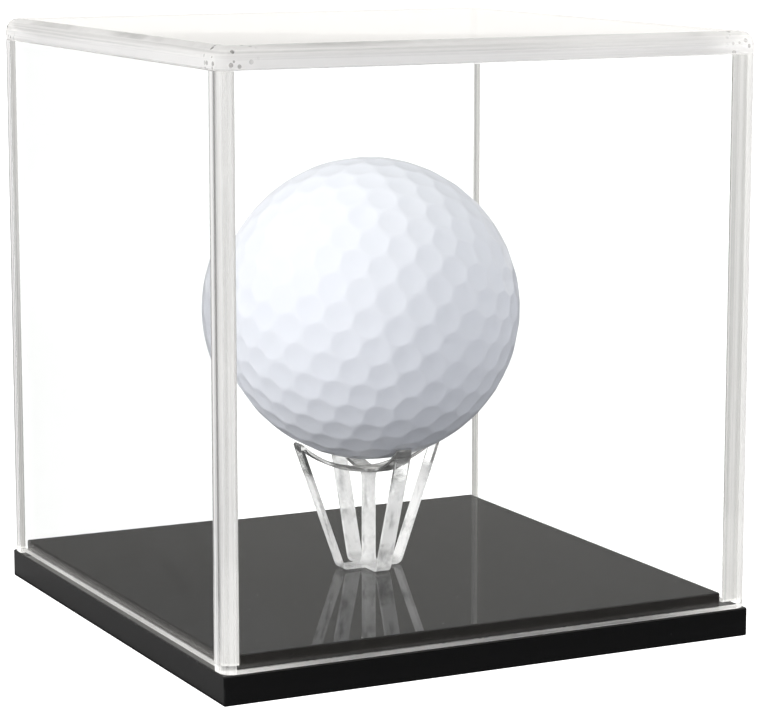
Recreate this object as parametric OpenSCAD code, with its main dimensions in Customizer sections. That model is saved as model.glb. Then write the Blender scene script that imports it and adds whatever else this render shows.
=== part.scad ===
// Golf ball display case: a black two-step acrylic base, a clear moulded tee,
// a ball, and a clear five-panel cover that lifts straight off.
// Millimetres. Origin: centre of the base's underside, +Z up, front towards -Y.

/* [Base] */
// Outside of the base and of the cover, both square
case_side = 78.7; // [70:0.1:90]
// Thickness of the bottom slab
slab_t = 4; // [3:0.5:8]
// Thickness of the raised plinth that locates the cover
plinth_t = 2; // [1:0.5:4]

/* [Cover] */
// Overall height of the closed case
case_height = 83.2; // [80:0.1:100]
// Thickness of the clear cover sheets
sheet_t = 3; // [2:0.5:4]
// Gap all round between the plinth and the cover
plinth_gap = 0.2; // [0.1:0.05:0.5]
// Light gap left under the two side panels
side_gap = 0.6; // [0:0.1:1]
// Radius of the polished outer edges
edge_r = 1.8; // [0.3:0.1:2.5]

/* [Tee] */
// Width of the tee's flat straps
strap_w = 2.3; // [2:0.1:3.5]
// Thickness of the tee's flat straps
strap_t = 0.5; // [0.4:0.1:0.8]
// Reach of the foot cross from the centre
foot_reach = 5; // [4:0.1:6]
// Reach of the leg tops from the centre
top_reach = 11.5; // [9:0.1:13]
// Height of the leg tops above the plinth
tee_h = 18.85; // [16:0.05:20]
// Height of the middle of the cradle above the plinth
cradle_h = 14.45; // [12:0.05:14.5]
// Diameter of the centre post
post_d = 2; // [1.5:0.1:2.4]

/* [Ball] */
// Diameter of the ball
ball_d = 42.7; // [42.6:0.05:43]
// Clearance between the ball and the tee
ball_gap = 0.1; // [0.05:0.05:0.2]

/* [Hidden] */
SIDES = ["right", "back", "left", "front"];
$fn = 64;

inside = case_side - 2 * sheet_t;
plinth_side = inside - 2 * plinth_gap;
plinth_top = slab_t + plinth_t;
panel_top = case_height - sheet_t;

// Tee profile in one radial plane: r outwards, z up
foot_top = plinth_top + strap_t;
leg_top = plinth_top + tee_h;
lean = (top_reach - foot_reach) / (leg_top - foot_top);
leg_across = strap_t * sqrt(1 + lean * lean);
leg_top_in = top_reach - leg_across;
cradle_z = plinth_top + cradle_h;
cradle_drop = leg_top - cradle_z;
cradle_r = (leg_top_in * leg_top_in + cradle_drop * cradle_drop) / (2 * cradle_drop);
hub_r = strap_w / 2;

ball_r = ball_d / 2;
ball_z = leg_top + sqrt(pow(ball_r + ball_gap, 2) - leg_top_in * leg_top_in);

// Upright box centred on the Z axis
module centred_box(x, y, z0, z1) {
    translate([-x / 2, -y / 2, z0]) cube([x, y, z1 - z0]);
}

// Square with round corners, centred in x and standing on y = y0
module round_outline(w, y0, y1, r) {
    translate([-w / 2 + r, y0]) square([w - 2 * r, y1 - y0]);
    translate([-w / 2, y0 + r]) square([w, y1 - y0 - 2 * r]);
    for (x = [-w / 2 + r, w / 2 - r], y = [y0 + r, y1 - r])
        translate([x, y]) circle(r);
}

// Outer form of the cover: its upright and top edges are rounded
module cover_form() {
    below = -edge_r;
    intersection() {
        translate([0, -case_side / 2, below])
            linear_extrude(case_height - below) round_outline(case_side, 0, case_side, edge_r);
        translate([0, case_side / 2, 0]) rotate([90, 0, 0])
            linear_extrude(case_side) round_outline(case_side, below, case_height, edge_r);
        translate([-case_side / 2, 0, 0]) rotate([90, 0, 90])
            linear_extrude(case_side) round_outline(case_side, below, case_height, edge_r);
    }
}

// Front or back panel, full width; side is -1 for the front and 1 for the back
module end_panel(side) {
    color("whitesmoke", 0.3) intersection() {
        cover_form();
        translate([0, side * (case_side - sheet_t) / 2, 0])
            centred_box(case_side, sheet_t, slab_t, panel_top);
    }
}

// Side panel between the front and back panels; side is -1 for the left and 1 for the right
module side_panel(side) {
    color("whitesmoke", 0.3)
        translate([side * (case_side - sheet_t) / 2, 0, 0])
            centred_box(sheet_t, inside, slab_t + side_gap, panel_top);
}

module cover_top() {
    color("whitesmoke", 0.3) intersection() {
        cover_form();
        centred_box(case_side, case_side, panel_top, case_height);
    }
}

module base_slab() {
    color("black") centred_box(case_side, case_side, 0, slab_t);
}

module base_plinth() {
    color("#202020") centred_box(plinth_side, plinth_side, slab_t, plinth_top);
}

// Turns a radial profile into a strap that faces side number i
module strap(i) {
    rotate([0, 0, 90 * i]) rotate([90, 0, 0])
        linear_extrude(strap_w, center = true) children();
}

module tee_foot() {
    color("lightgrey") union() {
        centred_box(2 * foot_reach, strap_w, plinth_top, foot_top);
        centred_box(strap_w, 2 * foot_reach, plinth_top, foot_top);
    }
}

// Centre post with the square hub that the four arms spring from
module tee_post() {
    hub_z = cradle_z - strap_t;
    color("lightgrey") union() {
        translate([0, 0, foot_top]) cylinder(d = post_d, h = hub_z - foot_top);
        centred_box(strap_w, strap_w, hub_z, cradle_z);
    }
}

module tee_leg(i) {
    color("lightgrey") strap(i)
        polygon([
            [foot_reach - leg_across, foot_top], [foot_reach, foot_top],
            [top_reach, leg_top], [leg_top_in, leg_top]
        ]);
}

// Arm that runs in a circular dip from the hub up to the inside of its leg
module tee_arm(i) {
    color("lightgrey") strap(i)
        intersection() {
            translate([0, cradle_z + cradle_r]) difference() {
                circle(cradle_r + strap_t, $fn = 180);
                circle(cradle_r, $fn = 180);
            }
            polygon([
                [hub_r, foot_top], [foot_reach - leg_across, foot_top],
                [leg_top_in, leg_top], [hub_r, leg_top]
            ]);
        }
}

module golf_ball() {
    color("white") translate([0, 0, ball_z]) sphere(ball_r);
}

base_slab();
base_plinth();
tee_foot();
tee_post();
for (i = [0:3]) {
    tee_leg(i);
    tee_arm(i);
}
golf_ball();
end_panel(-1);  // cover_front
end_panel(1);  // cover_back
side_panel(-1);  // cover_left
side_panel(1);  // cover_right
cover_top();
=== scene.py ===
"""Looks of a golf ball display case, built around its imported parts."""

import math

import bmesh
import bpy
from bpy.props import FloatProperty, FloatVectorProperty, IntProperty, PointerProperty
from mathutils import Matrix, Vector


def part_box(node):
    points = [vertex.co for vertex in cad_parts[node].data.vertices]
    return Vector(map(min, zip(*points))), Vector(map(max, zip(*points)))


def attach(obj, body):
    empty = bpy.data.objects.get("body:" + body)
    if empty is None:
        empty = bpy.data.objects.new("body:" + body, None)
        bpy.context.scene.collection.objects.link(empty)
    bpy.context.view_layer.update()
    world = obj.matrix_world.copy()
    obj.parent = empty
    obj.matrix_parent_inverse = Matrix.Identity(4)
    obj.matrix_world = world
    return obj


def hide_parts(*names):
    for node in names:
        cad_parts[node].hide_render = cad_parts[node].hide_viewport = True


bl_info = {
    "name": "Golf Ball Display Case",
    "version": (1, 0, 0),
    "blender": (4, 5, 0),
    "location": "3D View > Sidebar > Case",
    "description": "Builds a clear acrylic display case with a golf ball on a tee",
    "category": "Object",
}

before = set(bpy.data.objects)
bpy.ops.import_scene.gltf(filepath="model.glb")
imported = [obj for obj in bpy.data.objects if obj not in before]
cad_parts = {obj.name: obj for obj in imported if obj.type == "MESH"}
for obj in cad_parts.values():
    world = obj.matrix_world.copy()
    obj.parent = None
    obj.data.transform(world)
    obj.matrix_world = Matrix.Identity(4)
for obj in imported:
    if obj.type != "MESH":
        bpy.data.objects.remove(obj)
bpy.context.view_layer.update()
MM = 0.001
SEED = 4
UP = 2
COORDINATES = "ShaderNodeTexCoord"

# Facets across an edge that is polished, broken or rounded
POLISH_STEPS = 3
BREAK_STEPS = 2
ROUND_STEPS = 6
# Edges that turn more than this are broken, and a flat face follows an axis this closely
SHARP = math.radians(35)
FLAT = 0.9999

# Where a sheet of the cover stands
FRONT, PLAIN, BACK, LID = -1, 0, 1, 2

# The tee's straps: steps in a bend and along half a cradle arm, and the least turn that is bent
BEND_STEPS = 6
CRADLE_STEPS = 13
LEAST_TURN = math.radians(20)
# The tee's post: facets round it and rows up it, and the length of each flared end
POST_SIDES = 32
POST_ROWS = 28
FLARE_RISE = 1.6 * MM

# Angle between neighbouring corners of an icosahedron, seen from its middle
CORNER_ANGLE = math.radians(63.435)

# The studio
FLOOR_REACH = 8.0
FLOOR_DROP = -0.05 * MM
KEY_PLACE = (-0.92, -0.12, 0.32)
KEY_AIM = (0.0, 0.0, 0.043)
KEY_SIZE = 0.5
CAMERA_PLACE = (-0.18153, -0.36708, 0.10442)
CAMERA_AZIMUTH = math.radians(-26.62)
CAMERA_ELEVATION = math.radians(9.53)


# ---------------------------------------------------------------- sizes and colours


def length(name, description, millimetres):
    """A length property, given in millimetres."""
    return FloatProperty(
        name=name, description=description, default=millimetres * MM,
        min=0.0, unit="LENGTH", subtype="DISTANCE", precision=5,
    )


def colour(name, description, value):
    """An RGB colour property."""
    return FloatVectorProperty(
        name=name, description=description, default=value,
        min=0.0, max=1.0, size=3, subtype="COLOR",
    )


def share(name, description, value):
    """A property between 0 and 1."""
    return FloatProperty(
        name=name, description=description, default=value, min=0.0, max=1.0, subtype="FACTOR",
    )


class CaseBaseSettings(bpy.types.PropertyGroup):
    """Sizes and colours of the black stepped base."""

    edge: length("Polished edge", "Width of the flame-polished corner on each sheet", 0.22)
    black: colour("Sheet colour", "Colour of the black sheet", (0.004, 0.004, 0.004))
    sawn: colour("Sawn colour", "Colour of the plinth's sawn sides", (0.024, 0.022, 0.02))
    gloss: share("Roughness", "Roughness of the polished faces", 0.03)


class CaseCoverSettings(bpy.types.PropertyGroup):
    """Sizes and colours of the clear cover."""

    corner: length("Outer rounding", "Radius of the cover's outer edges", 1.8)
    break_edge: length("Edge break", "Bevel on the remaining edges of each sheet", 0.12)
    bond: length("Bond line", "Thickness of the glue line between two sheets", 0.02)
    milk: share("Edge haze", "How milky the cut and bonded edges are", 0.85)
    # Edge glow and foot glow are painted light: emission in the cut edges that stands in for light the
    # sheets lead there
    glow: share("Edge glow", "Light that the sheets lead to their cut edges", 0.12)
    foot_glow: FloatProperty(
        name="Foot glow", description="The same at the panels' bottom edges", default=1.1, min=0.0
    )
    lid_haze: share("Lid edge", "How milky the lid's rounded edge is beside a flat one", 0.9)
    corner_haze: share("Corner edge", "How milky the upright rounded corners are", 0.45)
    tint: colour("Edge colour", "Colour of the haze in the cut edges", (0.82, 0.808, 0.78))


class CaseTeeSettings(bpy.types.PropertyGroup):
    """Sizes and colours of the clear tee."""

    corner: length("Strap rounding", "Rounding of the straps' corners", 0.12)
    bend: length("Bend", "Length over which a strap turns at each corner", 0.7)
    flare: length("Flare", "How much wider the post is at its ends", 0.45)
    rings: IntProperty(
        name="Strap loops", description="Number of crossed strap loops", default=2, min=1, max=4
    )
    haze: share("Haze", "How milky the moulded plastic is", 0.88)


class CaseBallSettings(bpy.types.PropertyGroup):
    """Sizes and colours of the ball."""

    depth: length("Dimple depth", "Depth of each dimple at its middle", 0.21)
    width: length("Dimple width", "Distance across one dimple", 3.95)
    soft: share("Rim softness", "How softly a dimple runs into its rim", 0.2)
    lattice_a: IntProperty(
        name="Rows", description="Dimple rows along one step of the layout", default=5, min=1
    )
    lattice_b: IntProperty(
        name="Skew", description="Dimple rows sideways in one step of the layout", default=2
    )
    grid: IntProperty(
        name="Mesh lines", description="Lines along each side of the ball's mesh", default=128
    )
    white: colour("Skin", "Colour of the painted skin", (0.86, 0.87, 0.9))


class CaseStageSettings(bpy.types.PropertyGroup):
    """Camera, floor and studio light."""

    backdrop: FloatProperty(
        name="Backdrop", description="Brightness of the white backdrop", default=1.6
    )
    room: FloatProperty(name="Room", description="Brightness of the room's walls", default=0.26)
    key: FloatProperty(
        name="Key light", description="Power of the large soft light", default=5.8, unit="POWER"
    )
    lens: FloatProperty(
        name="Lens", description="Focal length in millimetres", default=138.19, min=10.0
    )


# ---------------------------------------------------------------- node trees


class Wire:
    """An output socket that takes part in Python sums by adding Math nodes."""

    def __init__(self, board, socket):
        self.board = board
        self.socket = socket

    def join(self, operation, first, second):
        return self.board.node(
            "ShaderNodeMath", {"operation": operation}, {0: first, 1: second}
        )

    def __add__(self, other):
        return self.join("ADD", self, other)

    def __radd__(self, other):
        return self.join("ADD", other, self)

    def __sub__(self, other):
        return self.join("SUBTRACT", self, other)

    def __rsub__(self, other):
        return self.join("SUBTRACT", other, self)

    def __mul__(self, other):
        return self.join("MULTIPLY", self, other)

    def __rmul__(self, other):
        return self.join("MULTIPLY", other, self)

    def __truediv__(self, other):
        return self.join("DIVIDE", self, other)

    def __rtruediv__(self, other):
        return self.join("DIVIDE", other, self)

    def __lt__(self, other):
        return self.join("LESS_THAN", self, other)

    def __gt__(self, other):
        return self.join("GREATER_THAN", self, other)

    def output(self, name):
        """Another output of the same node."""
        return Wire(self.board, self.socket.node.outputs[name])


class Board:
    """A shader or geometry node tree that is being filled."""

    def __init__(self, tree):
        self.tree = tree
        tree.nodes.clear()

    def node(self, kind, settings=None, sockets=None, out=0):
        """Adds a node: its settings come first, then the values or links of its sockets."""
        made = self.tree.nodes.new(kind)
        for key, value in (settings or {}).items():
            setattr(made, key, value)
        for key, value in (sockets or {}).items():
            if isinstance(value, Wire):
                self.tree.links.new(value.socket, made.inputs[key])
            else:
                made.inputs[key].default_value = value
        return Wire(self, made.outputs[out]) if len(made.outputs) else made

    def span(self, value, low, high, to_low=0.0, to_high=1.0):
        """A smooth step from to_low to to_high as value goes from low to high."""
        return self.node(
            "ShaderNodeMapRange", {"interpolation_type": "SMOOTHSTEP"},
            {"Value": value, "From Min": low, "From Max": high,
             "To Min": to_low, "To Max": to_high},
        )

    def blend(self, factor, first, second):
        """A mix of two colours."""
        return self.node(
            "ShaderNodeMix", {"data_type": "RGBA"}, {0: factor, 6: first, 7: second}, out=2
        )

    def coordinates(self, kind="Object"):
        """Object coordinates, or another output of the same node."""
        return self.node(COORDINATES).output(kind)

    def parts(self, vector):
        """A vector's parts, read with output("X") and so on."""
        return self.node("ShaderNodeSeparateXYZ", None, {0: vector})

    def unsigned(self, value):
        """A number without its sign."""
        return self.node("ShaderNodeMath", {"operation": "ABSOLUTE"}, {0: value})

    def stretched(self, scale):
        """Object coordinates, squeezed or stretched along each axis."""
        place = self.coordinates()
        return self.node("ShaderNodeMapping", None, {"Vector": place, "Scale": scale})

    def noise(self, place, scale, detail=2.0, rough=0.5):
        """Soft noise between 0 and 1."""
        return self.node(
            "ShaderNodeTexNoise", None,
            {"Vector": place, "Scale": scale, "Detail": detail, "Roughness": rough},
        )

    def specks(self, place, scale, size, few):
        """Small round specks: 1 inside a speck, and few of the cells hold one."""
        cell = self.node("ShaderNodeTexVoronoi", None, {"Vector": place, "Scale": scale})
        chance = self.node(
            "ShaderNodeSeparateColor", None, {"Color": cell.output("Color")}
        )
        return (cell < size) * (chance > few)

    def bump(self, height, strength, distance):
        """A normal from a height."""
        return self.node(
            "ShaderNodeBump", None,
            {"Height": height, "Strength": strength, "Distance": distance},
        )


def rgba(value, alpha=1.0):
    """A socket colour from a colour property."""
    return (value[0], value[1], value[2], alpha)


def new_finish(name):
    """A new material and its empty board."""
    material = bpy.data.materials.new(name)
    material.use_nodes = True
    return material, Board(material.node_tree)


def lets_lamps_through(board, surface, tint):
    """Shows the surface, but lets lamps shine straight through it."""
    clear = board.node("ShaderNodeBsdfTransparent", None, {"Color": rgba(tint)})
    shadow = board.node("ShaderNodeLightPath").output("Is Shadow Ray")
    shown = board.node("ShaderNodeMixShader", None, {0: shadow, 1: surface, 2: clear})
    board.node("ShaderNodeOutputMaterial", None, {"Surface": shown})


# ---------------------------------------------------------------- finishes


def black_acrylic(settings, grain, side):
    """Polished black sheet with faint wiping marks and fine dust; side colours its sawn sides."""
    material, board = new_finish("black_acrylic_" + grain)
    place = board.coordinates()
    wiped = board.noise(board.stretched((30.0, 210.0, 30.0)), 1.0, 3.0)
    cloudy = board.noise(place, 55.0, 3.0)
    dust = board.specks(place, 700.0, 0.07, 0.86)
    upright = 1.0 - board.unsigned(board.parts(board.coordinates("Normal")).output("Z"))
    sawn = board.noise(board.stretched((900.0, 900.0, 40.0)), 1.0, 2.0) * upright
    rough = settings.gloss + board.span(wiped, 0.45, 0.8) * 0.02 + cloudy * 0.01
    rough = rough + dust * 0.3 + sawn * 0.08
    skin = board.blend(dust, rgba(settings.black), (0.09, 0.09, 0.088, 1.0))
    skin = board.blend(cloudy * 0.12, skin, (0.02, 0.02, 0.02, 1.0))
    skin = board.blend(upright, skin, side)
    normal = board.bump(board.noise(place, 90.0, 0.0) + sawn * 0.3, 0.02, 0.00003)
    surface = board.node(
        "ShaderNodeBsdfPrincipled", None,
        {"Base Color": skin, "Roughness": rough, "IOR": 1.49, "Normal": normal},
    )
    board.node("ShaderNodeOutputMaterial", None, {"Surface": surface})
    return material


def milky(board, tint, glow=0.0):
    """Haze that shows on both sides of a clear part; glow is painted light, an emission that stands in
    for light led along the sheet.
    """
    front = board.node(
        "ShaderNodeBsdfPrincipled", None,
        {"Base Color": tint, "Roughness": 0.7, "Specular IOR Level": 0.1,
         "Emission Color": tint, "Emission Strength": glow},
    )
    through = board.node("ShaderNodeBsdfTranslucent", None, {"Color": tint})
    return board.node("ShaderNodeMixShader", None, {0: 0.5, 1: front, 2: through})


def sheet_streaks(board, in_lid, mottle):
    """Streaks that run up the panels and level round the lid, with only mottle on level faces."""
    upright = board.noise(board.stretched((2000.0, 2000.0, 9.0)), 1.0, 2.0)
    level = board.noise(board.stretched((9.0, 9.0, 2000.0)), 1.0, 2.0)
    streak = upright + (level - upright) * in_lid
    flat = board.unsigned(board.parts(board.coordinates("Normal")).output("Z")) > 0.7
    return streak + (mottle - streak) * flat


def lid_corners(board, spot):
    """1 at the lid's four corners, fading to 0 away from them."""
    low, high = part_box("cover_top")
    corner = board.span(spot.output("Z"), low.z - 0.5 * MM, low.z + 0.5 * MM)
    for axis in ("X", "Y"):
        out = board.unsigned(spot.output(axis))
        corner = corner * board.span(out, high.x - 6 * MM, high.x - 3 * MM)
    return corner


def foot_glow_mask(board, spot):
    """Where the cut edges take the strong painted glow: 1 at the outer ends of the panels' bottom edges,
    and less up the cover's right side, which is painted lighter.
    """
    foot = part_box("cover_left")[0].z
    low = board.span(spot.output("Z"), foot + 0.2 * MM, foot + 0.5 * MM, 1.0, 0.0)
    bright = low * board.span(board.unsigned(spot.output("X")), 22.0 * MM, 38.0 * MM)
    right = board.span(spot.output("X"), 30.0 * MM, 36.0 * MM, 0.0, 0.3)
    return bright + (1.0 - bright) * right


def clear_acrylic(settings):
    """Clear sheet: glassy faces with a little dust, and milky, streaked cut edges with a painted glow,
    strongest at the panels' feet, and painted shade on the lid's edges.
    """
    material, board = new_finish("clear_acrylic")
    place = board.coordinates()
    spot = board.parts(place)
    cut = board.node(
        "ShaderNodeAttribute", {"attribute_name": "cut_edge"}
    ).output("Fac")
    in_lid = spot.output("Z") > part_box("cover_top")[0].z
    mottle = board.noise(place, 60.0, 3.0, 0.6)
    streak = sheet_streaks(board, in_lid, mottle)
    bubbles = board.specks(place, 1100.0, 0.34, 0.4) * lid_corners(board, spot) * cut
    dust = board.specks(place, 260.0, 0.03, 0.93)
    glassy = board.node(
        "ShaderNodeBsdfPrincipled", None,
        {"Base Color": board.blend(bubbles, (0.985, 0.99, 0.985, 1.0), (0.3, 0.3, 0.29, 1.0)),
         "Roughness": cut * (0.03 + streak * 0.1), "IOR": 1.49, "Transmission Weight": 1.0,
         "Normal": board.bump(streak * cut - bubbles, 0.3, 0.00008)},
    )
    pale = milky(board, rgba(settings.tint), settings.glow)
    grey = milky(board, (0.64, 0.63, 0.61, 1.0), settings.glow)
    # The bottom edges' haze carries a strong painted glow, standing in for light led down the sheets
    foot_glow_haze = milky(board, rgba(settings.tint), settings.foot_glow)
    # The lid's edges are greyer: painted shade that offsets the stronger light the lid takes from
    # overhead; elsewhere streaks pick the grey haze
    streak_and_lid_shade = board.span(streak + mottle * 0.35, 0.55, 0.85) * (1.0 - in_lid * 0.6) + in_lid * 0.6
    milk = board.node("ShaderNodeMixShader", None, {0: streak_and_lid_shade, 1: pale, 2: grey})
    milk = board.node(
        "ShaderNodeMixShader", None, {0: foot_glow_mask(board, spot), 1: milk, 2: foot_glow_haze}
    )
    amount = cut * (settings.milk - board.span(streak - mottle * 0.2, 0.3, 0.6) * 0.25)
    amount = amount + dust * 0.1 - bubbles * 0.6
    surface = board.node("ShaderNodeMixShader", None, {0: amount, 1: glassy, 2: milk})
    lets_lamps_through(board, surface, (0.93, 0.93, 0.93))
    return material


def clear_moulding(settings):
    """Clear moulded plastic: smoky in the legs, with painted glow in its haze and painted shade as less
    haze on its left; clear at the cradle, with painted shade there but for its right.
    """
    material, board = new_finish("clear_moulding")
    place = board.coordinates()
    spot = board.parts(place)
    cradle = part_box("tee_post")[1].z
    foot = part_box("tee_foot")[1].z
    flow = board.noise(board.stretched((900.0, 900.0, 110.0)), 1.0, 3.0)
    smoke = board.noise(place, 230.0, 3.0, 0.6)
    pits = board.noise(place, 1500.0, 2.0)
    high = board.span(spot.output("Z"), cradle - 1.2 * MM, cradle + 0.2 * MM)
    leftward = board.span(spot.output("X"), 3.0 * MM, 8.0 * MM, 1.0, 0.0)
    # Painted shade: the cradle's top is dark except towards its right, standing in for the dark studio
    # refracted in it
    dark = high * board.span(smoke, 0.3, 0.5) * leftward
    glassy = board.node(
        "ShaderNodeBsdfPrincipled", None,
        {"Base Color": board.blend(dark, (0.98, 0.98, 0.975, 1.0), (0.3, 0.3, 0.295, 1.0)),
         "Roughness": 0.02 + pits * 0.06, "IOR": 1.49,
         "Transmission Weight": 1.0, "Normal": board.bump(flow, 0.3, 0.00008)},
    )
    # The pale haze carries a painted glow, an emission in the plastic
    pale = milky(board, (0.96, 0.955, 0.945, 1.0), 0.22)
    grey = milky(board, (0.5, 0.5, 0.5, 1.0))
    milk = board.node(
        "ShaderNodeMixShader", None, {0: board.span(flow + smoke, 0.98, 1.35), 1: pale, 2: grey}
    )
    # Painted shade: less haze, so a darker tee, towards its left; the haze also thins at the foot
    painted_shade_left = board.span(spot.output("X"), -7.0 * MM, 4.0 * MM, 0.55, 1.0)
    low = board.span(spot.output("Z"), foot, foot + 0.8 * MM, 0.55, 1.0)
    amount = (settings.haze - board.span(smoke, 0.45, 0.7) * 0.4) * painted_shade_left * low
    amount = amount * (1.0 - high * 0.9)
    surface = board.node("ShaderNodeMixShader", None, {0: amount, 1: glassy, 2: milk})
    lets_lamps_through(board, surface, (0.9, 0.9, 0.9))
    return material


def ball_skin(settings):
    """White lacquered skin, with painted shade that darkens it down in each dimple, which is also duller
    there.
    """
    material, board = new_finish("ball_skin")
    place = board.coordinates()
    deep = board.node("ShaderNodeAttribute", {"attribute_name": "dimple"}).output("Fac")
    cloudy = board.noise(place, 90.0, 4.0)
    grain = board.noise(place, 2600.0, 2.0)
    scuff = board.span(board.noise(board.stretched((260.0, 90.0, 420.0)), 1.0, 5.0), 0.66, 0.8)
    # Painted shade: the skin darkens to a cool grey down in each dimple; cloudy adds a random tone
    skin = board.blend(deep * 0.1 + cloudy * 0.08, rgba(settings.white), (0.76, 0.78, 0.83, 1.0))
    skin = board.blend(scuff * 0.25, skin, (0.72, 0.73, 0.75, 1.0))
    surface = board.node(
        "ShaderNodeBsdfPrincipled", None,
        {"Base Color": skin, "Roughness": 0.34 + cloudy * 0.08 + scuff * 0.2 + deep * 0.04,
         "IOR": 1.5, "Coat Weight": 0.25 - scuff * 0.15, "Coat Roughness": 0.12,
         "Normal": board.bump(grain, 0.12, 0.00002)},
    )
    board.node("ShaderNodeOutputMaterial", None, {"Surface": surface})
    return material


# ---------------------------------------------------------------- mesh helpers


def block(low, high):
    """A box as a bmesh."""
    bm = bmesh.new()
    for v in bmesh.ops.create_cube(bm, size=1.0)["verts"]:
        v.co = Vector((low[i] + high[i]) / 2 + v.co[i] * (high[i] - low[i]) for i in range(3))
    return bm


def middle(edge):
    """The middle of an edge."""
    return (edge.verts[0].co + edge.verts[1].co) / 2


def runs_along(edge, axis):
    """True if the edge lies along that axis."""
    line = (edge.verts[1].co - edge.verts[0].co).normalized()
    return abs(line[axis]) > 0.999


def round_off(bm, edges, radius, steps):
    """Rounds these edges."""
    bmesh.ops.bevel(
        bm, geom=edges, offset=radius, offset_type="OFFSET", segments=steps,
        profile=0.5, affect="EDGES", clamp_overlap=True,
    )


def sharp_edges(bm):
    """Edges that turn too much to be part of a rounding."""
    return [e for e in bm.edges if e.calc_face_angle(0.0) > SHARP]


def finish_piece(name, mesh, body, nodes, material):
    """Makes the mesh a piece that rides on its body and stands for its parts."""
    piece = bpy.data.objects.new(name, mesh)
    bpy.context.scene.collection.objects.link(piece)
    if not mesh.materials:
        mesh.materials.append(material)
    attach(piece, body)
    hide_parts(*nodes)
    return piece


def edge_haze(normal, thin_axis, rounded_haze):
    """How hazy a sheet's face is: 0 on a broad face, 1 on a flat cut edge."""
    if abs(normal[thin_axis]) > FLAT:
        return 0.0
    if max(abs(c) for c in normal) > FLAT:
        return 1.0
    return rounded_haze


def to_mesh(bm, name, thin_axis=None, rounded_haze=1.0):
    """Turns a bmesh into a smooth-shaded mesh; a sheet's thin_axis marks its cut edges."""
    bmesh.ops.recalc_face_normals(bm, faces=bm.faces)
    mesh = bpy.data.meshes.new(name)
    bm.to_mesh(mesh)
    bm.free()
    if thin_axis is not None:
        mask = mesh.attributes.new("cut_edge", "FLOAT", "FACE")
        for face in mesh.polygons:
            mask.data[face.index].value = edge_haze(face.normal, thin_axis, rounded_haze)
    mesh.shade_smooth()
    return mesh


def even_normals(piece):
    """Keeps broad faces flat beside rounded edges."""
    piece.modifiers.new("even_normals", "WEIGHTED_NORMAL").weight = 100


def evaluated_mesh(mesh, tree, values, name):
    """Runs a geometry tree on a mesh and returns its result as a plain mesh."""
    carrier = bpy.data.objects.new(name + "_carrier", mesh)
    bpy.context.scene.collection.objects.link(carrier)
    modifier = carrier.modifiers.new("shape", "NODES")
    modifier.node_group = tree
    for item in tree.interface.items_tree:
        if item.item_type == "SOCKET" and item.in_out == "INPUT" and item.name in values:
            modifier[item.identifier] = values[item.name]
    seen = bpy.context.evaluated_depsgraph_get()
    made = bpy.data.meshes.new_from_object(
        carrier.evaluated_get(seen), preserve_all_data_layers=True, depsgraph=seen
    )
    carrier.modifiers.clear()
    bpy.data.objects.remove(carrier)
    made.name = name
    return made


def geometry_tree(name, inputs):
    """A geometry tree with a mesh in, a mesh out and named inputs; returns it and its board."""
    tree = bpy.data.node_groups.new(name, "GeometryNodeTree")
    tree.interface.new_socket("Geometry", in_out="INPUT", socket_type="NodeSocketGeometry")
    tree.interface.new_socket("Geometry", in_out="OUTPUT", socket_type="NodeSocketGeometry")
    for label, kind in inputs.items():
        tree.interface.new_socket(label, in_out="INPUT", socket_type=kind)
    return tree, Board(tree)


def close_tree(board, geometry, material):
    """Ends a geometry tree: real meshes, smooth shading and one material."""
    real = board.node("GeometryNodeRealizeInstances", None, {"Geometry": geometry})
    smooth = board.node("GeometryNodeSetShadeSmooth", None, {"Geometry": real})
    done = board.node(
        "GeometryNodeSetMaterial", None, {"Geometry": smooth, "Material": material}
    )
    board.node("NodeGroupOutput", None, {"Geometry": done})


# ---------------------------------------------------------------- base


class CASE_OT_base(bpy.types.Operator):
    """Builds the black slab and the plinth on it"""

    bl_idname = "case.base"
    bl_label = "Base"

    def execute(self, context):
        settings = context.scene.case_base
        for node in ("base_slab", "base_plinth"):
            bm = block(*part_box(node))
            round_off(bm, list(bm.edges), settings.edge, POLISH_STEPS)
            mesh = to_mesh(bm, node + "_sheet")
            side = rgba(settings.sawn if node == "base_plinth" else settings.black)
            material = black_acrylic(settings, node.split("_")[1], side)
            even_normals(
                finish_piece(node + "_sheet", mesh, "base", [node], material)
            )
        return {"FINISHED"}


# ---------------------------------------------------------------- cover


def is_rounded(edge, low, high, side):
    """True for a sheet's edges that are rounded because they are on the outside of the cover."""
    if side == PLAIN:
        return False
    if side == LID:
        return runs_along(edge, UP) or middle(edge).z > (low.z + high.z) / 2
    return runs_along(edge, UP) and middle(edge).y * side > abs(low.y + high.y) / 2


def cover_sheet(node, settings, side):
    """One sheet of the cover, with room for the glue where it meets the others."""
    low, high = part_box(node)
    thin = min(range(3), key=lambda i: high[i] - low[i])
    bond = settings.bond / 2
    low.z += bond
    if side != LID:
        high.z -= bond
    if side == PLAIN:
        low.y += bond
        high.y -= bond
    bm = block(low, high)
    rounded = [e for e in bm.edges if is_rounded(e, low, high, side)]
    round_off(bm, rounded, settings.corner, ROUND_STEPS)
    round_off(bm, sharp_edges(bm), settings.break_edge, BREAK_STEPS)
    haze = settings.lid_haze if side == LID else settings.corner_haze
    return to_mesh(bm, node + "_sheet", thin, haze)


class CASE_OT_cover(bpy.types.Operator):
    """Builds the cover's five clear sheets"""

    bl_idname = "case.cover"
    bl_label = "Cover"

    def execute(self, context):
        settings = context.scene.case_cover
        material = clear_acrylic(settings)
        sides = {"cover_front": FRONT, "cover_back": BACK, "cover_left": PLAIN,
                 "cover_right": PLAIN, "cover_top": LID}
        for node, side in sides.items():
            mesh = cover_sheet(node, settings, side)
            piece = finish_piece(node + "_sheet", mesh, "cover", [node], material)
            even_normals(piece)
        return {"FINISHED"}


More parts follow.
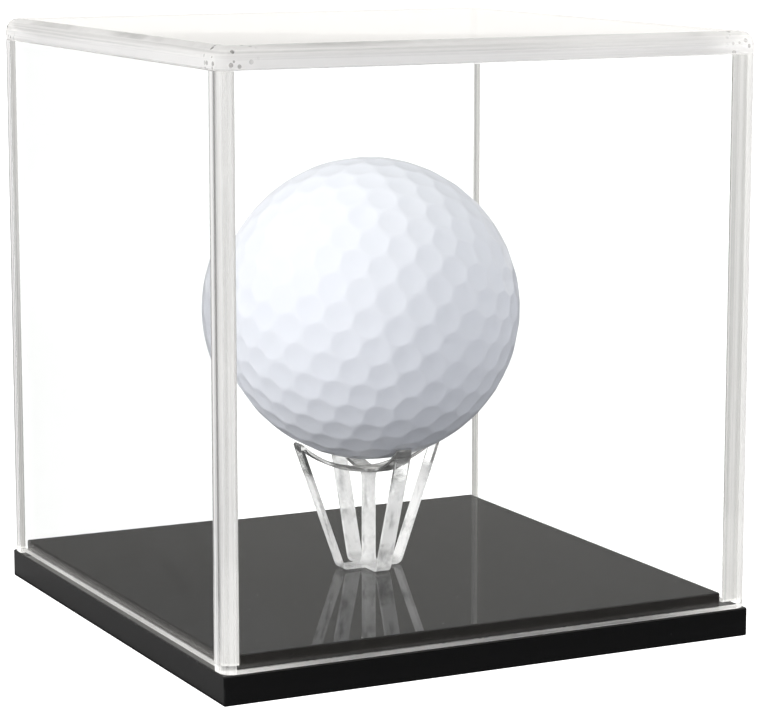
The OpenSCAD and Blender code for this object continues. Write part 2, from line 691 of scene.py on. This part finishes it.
# ---------------------------------------------------------------- tee


def bent(points, reach):
    """A closed path through these points with each corner turned over that length."""
    path = []
    count = len(points)
    most = 0.45
    for i, corner in enumerate(points):
        before = points[i - 1] - corner
        after = points[(i + 1) % count] - corner
        if before.angle(-after) < LEAST_TURN:
            path.append(corner)
            continue
        near = min(reach, before.length * most, after.length * most)
        start = corner + before.normalized() * near
        end = corner + after.normalized() * near
        for step in range(BEND_STEPS + 1):
            t = step / BEND_STEPS
            path.append(start * (1 - t) ** 2 + corner * 2 * t * (1 - t) + end * t * t)
    return path


def strap_path(foot, leg, hub_top, thick, bend):
    """The strap's centre line: across the foot, up a leg, down and up the cradle, and back."""
    foot_low, foot_high = foot
    leg_high = leg[1]
    slope = (leg_high.x - foot_high.x) / (leg_high.z - foot_high.z)
    across = thick * math.hypot(1, slope)
    tip = leg_high.x - across
    drop = leg_high.z - hub_top
    radius = (tip * tip + drop * drop) / (2 * drop)
    right = [
        Vector((foot_high.x - across, 0, foot_low.z + thick / 2)),
        Vector((leg_high.x - across / 2 - 0.1 * MM, 0, leg_high.z - 0.15 * MM)),
    ]
    reach = math.asin(tip / radius)
    out = radius + thick / 2
    for i in range(1, CRADLE_STEPS + 1):
        angle = reach * (1 - i / (CRADLE_STEPS + 0.5))
        right.append(Vector((
            out * math.sin(angle), 0, hub_top + radius - out * math.cos(angle)
        )))
    left = [Vector((-p.x, 0, p.z)) for p in reversed(right)]
    return bent(right + left, bend)


def strap_section(width, thick, corner):
    """The strap's outline across its length, with rounded corners."""
    section = []
    for sx, sy in ((1, 1), (-1, 1), (-1, -1), (1, -1)):
        start = math.atan2(sy, sx) - math.pi / 4
        for i in range(3):
            angle = start + i * math.pi / 4
            section.append((
                sx * (width / 2 - corner) + corner * math.cos(angle),
                sy * (thick / 2 - corner) + corner * math.sin(angle),
            ))
    return section


def strap_loop(settings):
    """A closed strap in the XZ plane, swept round its path."""
    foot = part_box("tee_foot")
    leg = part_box("tee_leg_right")
    thick = foot[1].z - foot[0].z
    path = strap_path(foot, leg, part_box("tee_post")[1].z, thick, settings.bend)
    section = strap_section(2 * leg[1].y, thick, settings.corner)
    bm = bmesh.new()
    rings = []
    for i, point in enumerate(path):
        ahead = (path[(i + 1) % len(path)] - path[i - 1]).normalized()
        outward = Vector((ahead.z, 0, -ahead.x))
        rings.append([
            bm.verts.new(point + outward * v + Vector((0, u, 0))) for u, v in section
        ])
    for i, ring in enumerate(rings):
        following = rings[(i + 1) % len(rings)]
        for j in range(len(ring)):
            k = (j + 1) % len(ring)
            bm.faces.new((ring[j], ring[k], following[k], following[j]))
    return bm


def tee_post(settings):
    """The centre post, flared at its foot and under the cradle, with its ends sunk in them."""
    low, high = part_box("tee_post")
    radius = 1.0 * MM
    bottom = low.z - 0.25 * MM
    top = high.z - 0.2 * MM
    bm = bmesh.new()
    rows = []
    for i in range(POST_ROWS + 1):
        z = bottom + (top - bottom) * i / POST_ROWS
        near_end = max(0.0, 1 - min(z - bottom, top - z) / FLARE_RISE)
        r = radius + settings.flare * near_end ** 2.2
        rows.append([
            bm.verts.new((r * math.cos(a), r * math.sin(a), z))
            for a in (2 * math.pi * k / POST_SIDES for k in range(POST_SIDES))
        ])
    for lower, upper in zip(rows, rows[1:]):
        for k in range(POST_SIDES):
            n = (k + 1) % POST_SIDES
            bm.faces.new((lower[k], lower[n], upper[n], upper[k]))
    bm.faces.new(list(reversed(rows[0])))
    bm.faces.new(rows[-1])
    return bm


def tee_tree(material, post):
    """Crosses the strap loop with turned copies of itself and joins them to the post."""
    tree, board = geometry_tree("crossed_straps", {"Loops": "NodeSocketInt"})
    given = board.node("NodeGroupInput")
    points = board.node("GeometryNodePoints", None, {"Count": given.output("Loops")})
    turn = board.node("GeometryNodeInputIndex") * (math.pi / 2)
    facing = board.node("ShaderNodeCombineXYZ", None, {"Z": turn})
    loops = board.node(
        "GeometryNodeInstanceOnPoints", None,
        {"Points": points, "Instance": given.output("Geometry"), "Rotation": facing},
    )
    core = board.node("GeometryNodeObjectInfo", None, {"Object": post}).output("Geometry")
    joined = board.node("GeometryNodeMeshBoolean", {"operation": "UNION", "solver": "EXACT"})
    board.tree.links.new(loops.socket, joined.socket.node.inputs["Mesh 2"])
    board.tree.links.new(core.socket, joined.socket.node.inputs["Mesh 2"])
    close_tree(board, joined, material)
    return tree


class CASE_OT_tee(bpy.types.Operator):
    """Builds the clear tee as one moulding"""

    bl_idname = "case.tee"
    bl_label = "Tee"

    def execute(self, context):
        settings = context.scene.case_tee
        material = clear_moulding(settings)
        post = bpy.data.objects.new("post_carrier", to_mesh(tee_post(settings), "tee_post_core"))
        bpy.context.scene.collection.objects.link(post)
        loop = to_mesh(strap_loop(settings), "strap_loop")
        mesh = evaluated_mesh(
            loop, tee_tree(material, post), {"Loops": settings.rings}, "tee_moulding"
        )
        bpy.data.objects.remove(post)
        nodes = [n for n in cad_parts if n.startswith("tee_")]
        piece = finish_piece("tee_moulding", mesh, "base", nodes, material)
        even_normals(piece)
        return {"FINISHED"}


# ---------------------------------------------------------------- ball


def dimple_centres(a, b):
    """Unit vectors of an even, skewed layout over the 20 faces of an icosahedron."""
    bm = bmesh.new()
    bmesh.ops.create_icosphere(bm, subdivisions=1, radius=1.0)
    faces = [[v.co.normalized() for v in f.verts] for f in bm.faces]
    bm.free()
    total = a * a + a * b + b * b
    found = []
    size = a + b
    for corners in faces:
        for i in range(-size, size + 1):
            for j in range(-size, size + 1):
                # weights of lattice point (i, j) in the triangle (0, 0), (a, b), (-b, a + b)
                second = (i * (a + b) + j * b) / total
                third = (j * a - i * b) / total
                first = 1 - second - third
                if min(first, second, third) < -1e-6:
                    continue
                spot = sum(
                    (w * c for w, c in zip(arc_weights(first, second, third), corners)),
                    Vector((0, 0, 0)),
                ).normalized()
                # two faces share the centres on their common edge
                if all((spot - other).length > 0.02 for other in found):
                    found.append(spot)
    return found


def arc_weights(first, second, third):
    """Weights that spread flat lattice points evenly over a curved face."""
    return [math.sin(max(w, 0.0) * CORNER_ANGLE) for w in (first, second, third)]


def ball_tree(material):
    """A round mesh pressed in by the nearest dimple centre."""
    tree, board = geometry_tree("dimpled_ball", {
        "Radius": "NodeSocketFloat", "Depth": "NodeSocketFloat", "Width": "NodeSocketFloat",
        "Softness": "NodeSocketFloat", "Lines": "NodeSocketInt",
    })
    given = board.node("NodeGroupInput")
    lines = given.output("Lines")
    cube = board.node(
        "GeometryNodeMeshCube", None,
        {"Size": (2.0, 2.0, 2.0), "Vertices X": lines, "Vertices Y": lines, "Vertices Z": lines},
    )
    spot = board.parts(board.node("GeometryNodeInputPosition"))
    eighth_turn = math.pi / 4
    even = [
        board.node("ShaderNodeMath", {"operation": "TANGENT"}, {0: spot.output(axis) * eighth_turn})
        for axis in "XYZ"
    ]
    bulged = board.node("ShaderNodeCombineXYZ", None, dict(enumerate(even)))
    unit = board.node("ShaderNodeVectorMath", {"operation": "NORMALIZE"}, {0: bulged})
    ball = board.node(
        "ShaderNodeVectorMath", {"operation": "SCALE"}, {0: unit, "Scale": given.output("Radius")}
    )
    round_mesh = board.node("GeometryNodeSetPosition", None, {"Geometry": cube, "Position": ball})
    near = board.node(
        "GeometryNodeProximity", {"target_element": "POINTS"},
        {0: given.output("Geometry")},
    ).output("Distance")
    across = near * 2.0 / given.output("Width")
    cup = board.node(
        "ShaderNodeMath", {"operation": "SMOOTH_MAX"},
        {0: 1.0 - across * across, 1: 0.0, 2: given.output("Softness")},
    )
    marked = board.node(
        "GeometryNodeStoreNamedAttribute", {"data_type": "FLOAT", "domain": "POINT"},
        {"Geometry": round_mesh, "Name": "dimple", "Value": cup},
    )
    out = board.node(
        "ShaderNodeVectorMath", {"operation": "NORMALIZE"},
        {0: board.node("GeometryNodeInputPosition")},
    )
    level = board.node(
        "GeometryNodeInputNamedAttribute", {"data_type": "FLOAT"}, {"Name": "dimple"}
    )
    press = board.node(
        "ShaderNodeVectorMath", {"operation": "SCALE"},
        {0: out, "Scale": level * given.output("Depth") * -1.0},
    )
    pressed = board.node("GeometryNodeSetPosition", None, {"Geometry": marked, "Offset": press})
    close_tree(board, pressed, material)
    return tree


class CASE_OT_ball(bpy.types.Operator):
    """Builds the dimpled ball"""

    bl_idname = "case.ball"
    bl_label = "Ball"

    def execute(self, context):
        settings = context.scene.case_ball
        low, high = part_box("golf_ball")
        centre = (low + high) / 2
        radius = (high.z - low.z) / 2
        material = ball_skin(settings)
        centres = bpy.data.meshes.new("dimple_centres")
        spots = dimple_centres(settings.lattice_a, settings.lattice_b)
        centres.from_pydata([s * radius for s in spots], [], [])
        values = {"Radius": radius, "Depth": settings.depth, "Width": settings.width,
                  "Softness": settings.soft, "Lines": settings.grid}
        mesh = evaluated_mesh(centres, ball_tree(material), values, "ball_dimpled")
        for v in mesh.vertices:
            v.co += centre
        finish_piece("ball_dimpled", mesh, "ball", ["golf_ball"], material)
        return {"FINISHED"}


# ---------------------------------------------------------------- stage


def seen_straight(board):
    """1 for what the camera sees directly or only through clear parts, else 0."""
    path = board.node("ShaderNodeLightPath")
    return (path.output("Diffuse Depth") < 0.5) * (path.output("Glossy Depth") < 0.5)


def floor_material(settings):
    """Floor that is a white backdrop to the camera, a pale one to soft light and dark in mirrors.

    Mirrors also see a narrow strip of painted light on it along the slab's left side.
    """
    material, board = new_finish("pale_floor")
    white = board.node(
        "ShaderNodeEmission", None, {"Color": (1, 1, 1, 1), "Strength": settings.backdrop}
    )
    bounce = board.node("ShaderNodeLightPath").output("Diffuse Depth") > 0.5
    spot = board.parts(board.coordinates())
    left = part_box("base_slab")[0].x
    strip = 8.0 * MM
    # Painted light: a brighter strip of floor along the slab's left side, seen only in reflections
    lit = board.span(spot.output("X"), left - 1.0 * MM, left - 0.2 * MM, 1.0, 0.0)
    lit = lit * (spot.output("X") > left - strip)
    dark, edge, fill = [
        board.node("ShaderNodeBsdfDiffuse", None, {"Color": rgba(tone)})
        for tone in ((0.02, 0.0197, 0.019), (0.2, 0.196, 0.19), (0.66, 0.67, 0.74))
    ]
    table = board.node("ShaderNodeMixShader", None, {0: lit, 1: dark, 2: edge})
    table = board.node("ShaderNodeMixShader", None, {0: bounce, 1: table, 2: fill})
    shown = board.node(
        "ShaderNodeMixShader", None, {0: seen_straight(board), 1: table, 2: white}
    )
    board.node("ShaderNodeOutputMaterial", None, {"Surface": shown})
    return material


def studio_world(settings):
    """Grey room, brighter overhead and at the horizon, with a white backdrop for the camera."""
    world = bpy.data.worlds.new("studio")
    world.use_nodes = True
    board = Board(world.node_tree)
    height = board.parts(board.coordinates("Generated")).output("Z")
    ceiling = board.span(height, 0.3, 1.0) * 0.4
    horizon = board.span(height, 0.08, 0.15, 0.56, 0.0)
    room = settings.room + ceiling + horizon
    bounce = board.node("ShaderNodeLightPath").output("Diffuse Depth") > 0.5
    mirrored = (1.33, 1.305, 1.265, 1)
    bounced = (2.6, 2.63, 2.72, 1)
    tone = board.blend(bounce, mirrored, bounced)
    walls = board.node("ShaderNodeBackground", None, {"Color": tone, "Strength": room})
    white = board.node(
        "ShaderNodeBackground", None, {"Color": (1, 1, 1, 1), "Strength": settings.backdrop}
    )
    shown = board.node(
        "ShaderNodeMixShader", None, {0: seen_straight(board), 1: walls, 2: white}
    )
    board.node("ShaderNodeOutputWorld", None, {"Surface": shown})
    return world


def key_light(power):
    """A large soft box that points at the ball and isn't itself seen in or through the case."""
    lamp = bpy.data.lights.new("key", "AREA")
    lamp.shape = "SQUARE"
    lamp.size = KEY_SIZE
    lamp.energy = power
    lamp.cycles.max_bounces = 8
    holder = bpy.data.objects.new("key", lamp)
    holder.location = KEY_PLACE
    holder.visible_glossy = False
    holder.visible_transmission = False
    aim = Vector(KEY_AIM) - Vector(KEY_PLACE)
    holder.rotation_euler = aim.to_track_quat("-Z", "Y").to_euler()
    return holder


def studio_floor(settings):
    """A wide floor just under the case."""
    mesh = bpy.data.meshes.new("floor")
    corners = [(-FLOOR_REACH, -FLOOR_REACH, FLOOR_DROP), (FLOOR_REACH, -FLOOR_REACH, FLOOR_DROP),
               (FLOOR_REACH, FLOOR_REACH, FLOOR_DROP), (-FLOOR_REACH, FLOOR_REACH, FLOOR_DROP)]
    mesh.from_pydata(corners, [], [(0, 1, 2, 3)])
    mesh.materials.append(floor_material(settings))
    return bpy.data.objects.new("floor", mesh)


def studio_camera(settings):
    """The camera, turned to its azimuth and tilted down by its elevation."""
    data = bpy.data.cameras.new("camera")
    data.lens = settings.lens
    data.sensor_width = 36.0
    data.sensor_fit = "HORIZONTAL"
    data.clip_start = 0.01
    data.clip_end = 50.0
    camera = bpy.data.objects.new("camera", data)
    back = Vector((
        math.sin(CAMERA_AZIMUTH) * math.cos(CAMERA_ELEVATION),
        -math.cos(CAMERA_AZIMUTH) * math.cos(CAMERA_ELEVATION),
        math.sin(CAMERA_ELEVATION),
    ))
    camera.location = CAMERA_PLACE
    camera.rotation_euler = (-back).to_track_quat("-Z", "Y").to_euler()
    return camera


def light_paths(scene):
    """How far light is followed through the clear sheets, and plain display colours."""
    scene.view_settings.view_transform = "Standard"
    cycles = scene.cycles
    cycles.max_bounces = 20
    cycles.transmission_bounces = 20
    cycles.glossy_bounces = 12
    cycles.diffuse_bounces = 3
    cycles.transparent_max_bounces = 16
    cycles.sample_clamp_indirect = 4.0
    cycles.use_denoising = True
    cycles.seed = SEED


class CASE_OT_stage(bpy.types.Operator):
    """Adds the floor, the studio light and the camera"""

    bl_idname = "case.stage"
    bl_label = "Stage"

    def execute(self, context):
        scene = context.scene
        settings = scene.case_stage
        floor = studio_floor(settings)
        scene.collection.objects.link(floor)
        scene.world = studio_world(settings)
        scene.collection.objects.link(key_light(settings.key))
        camera = studio_camera(settings)
        scene.collection.objects.link(camera)
        scene.camera = camera
        light_paths(scene)
        return {"FINISHED"}


# ---------------------------------------------------------------- add-on


class CASE_PT_sidebar(bpy.types.Panel):
    """Lists the pieces of the case and their settings"""

    bl_idname = "CASE_PT_sidebar"
    bl_label = "Golf Ball Display Case"
    bl_space_type = "VIEW_3D"
    bl_region_type = "UI"
    bl_category = "Case"

    def draw(self, context):
        for name, (group, operator) in GROUPS.items():
            box = self.layout.box()
            box.operator(operator.bl_idname)
            settings = getattr(context.scene, name)
            for key in group.__annotations__:
                box.prop(settings, key)


GROUPS = {
    "case_base": (CaseBaseSettings, CASE_OT_base),
    "case_cover": (CaseCoverSettings, CASE_OT_cover),
    "case_tee": (CaseTeeSettings, CASE_OT_tee),
    "case_ball": (CaseBallSettings, CASE_OT_ball),
    "case_stage": (CaseStageSettings, CASE_OT_stage),
}


def register():
    for name, (group, operator) in GROUPS.items():
        bpy.utils.register_class(group)
        bpy.utils.register_class(operator)
        setattr(bpy.types.Scene, name, PointerProperty(type=group))
    bpy.utils.register_class(CASE_PT_sidebar)


def unregister():
    bpy.utils.unregister_class(CASE_PT_sidebar)
    for name, (group, operator) in reversed(GROUPS.items()):
        delattr(bpy.types.Scene, name)
        bpy.utils.unregister_class(operator)
        bpy.utils.unregister_class(group)


def main():
    register()
    bpy.ops.case.base()
    bpy.ops.case.cover()
    bpy.ops.case.tee()
    bpy.ops.case.ball()
    bpy.ops.case.stage()


if __name__ == "__main__":
    main()
